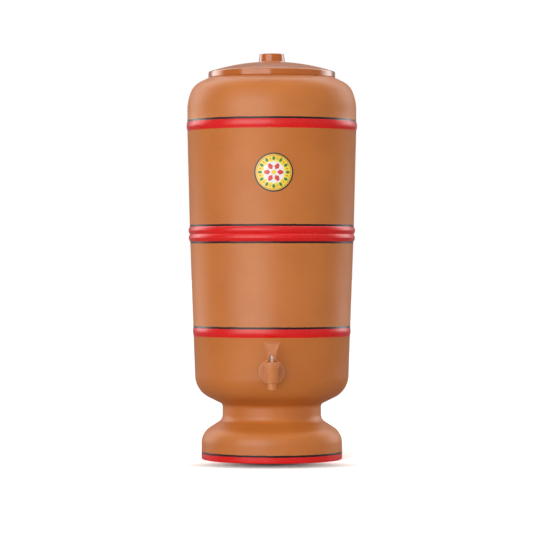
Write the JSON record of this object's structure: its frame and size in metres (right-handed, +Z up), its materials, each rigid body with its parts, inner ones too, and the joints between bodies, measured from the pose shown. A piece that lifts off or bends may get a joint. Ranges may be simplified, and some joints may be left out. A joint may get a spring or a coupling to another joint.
{
  "type": "clay water filter",
  "caption": "Two-chamber terracotta gravity water filter on a pedestal foot, with painted red rings, a ceramic candle, a float valve, a lever tap and a knobbed lid.",
  "frame": {"origin": "centre of the ring that the foot rests on", "axes": "+Z up along the axis of both chambers, the tap towards -Y"},
  "size_m": [0.225, 0.2521, 0.5342],
  "materials": {
    "clay": "smooth satin terracotta with painted red rings and black lines",
    "lid_plastic": "glossy moulded plastic",
    "tap_plastic": "satin moulded plastic",
    "badge_print": "printed sticker",
    "rubber": "matt",
    "silicone": "milky satin",
    "white_plastic": "satin moulded plastic",
    "blue_plastic": "satin moulded plastic",
    "spring_steel": "drawn stainless wire",
    "candle_ceramic": "unglazed white ceramic",
    "carbon": "granular"
  },
  "bodies": {
    "base": {"lower_reservoir": "clay", "tap_body": "tap_plastic", "tap_outer_washer": "rubber", "tap_inner_washer": "rubber", "tap_lock_nut": "tap_plastic", "tap_bonnet": "tap_plastic", "tap_seat_cup": "silicone", "tap_spring": "spring_steel"},
    "stem": {"tap_stem": "white_plastic", "tap_pin": "spring_steel"},
    "lever": {"tap_lever": "tap_plastic"},
    "upper": {"upper_reservoir": "clay", "front_badge": "badge_print", "candle_shell": "candle_ceramic", "candle_core": "carbon", "candle_base": "white_plastic", "candle_gasket": "rubber", "candle_lower_washer": "rubber", "candle_wing_nut": "white_plastic", "float_valve_body": "blue_plastic", "float_pivot_pin": "spring_steel"},
    "float": {"float_arm": "blue_plastic", "float_seal": "rubber", "float_cup": "white_plastic", "float_cap": "white_plastic"},
    "lid": {"lid": "lid_plastic"}
  },
  "joints": [
    {"name": "tap_stem_lift", "type": "slide", "parent": "base", "child": "stem", "axis": [0, 0, 1], "range_m": [0, 0.00314], "deforming": ["tap_spring", "tap_seat_cup"]},
    {"name": "tap_lever_tilt", "type": "hinge", "parent": "stem", "child": "lever", "pos_m": [0, -0.12933, 0.138], "axis": [1, 0, 0], "range_deg": [0, 60], "stiffness_Nm_per_rad": 0.01, "springref_deg": -114.59},
    {"name": "upper_lift", "type": "slide", "parent": "base", "child": "upper", "axis": [0, 0, 1], "range_m": [0, 0.12]},
    {"name": "float_swing", "type": "hinge", "parent": "upper", "child": "float", "pos_m": [0, -0.014, 0.2396], "axis": [1, 0, 0], "range_deg": [0, 22]},
    {"name": "lid_lift", "type": "slide", "parent": "upper", "child": "lid", "axis": [0, 0, 1], "range_m": [0, 0.06]}
  ],
  "couplings": [
    {"joint": "tap_lever_tilt", "follows": "tap_stem_lift", "rad_per_m": 333.33}
  ]
}
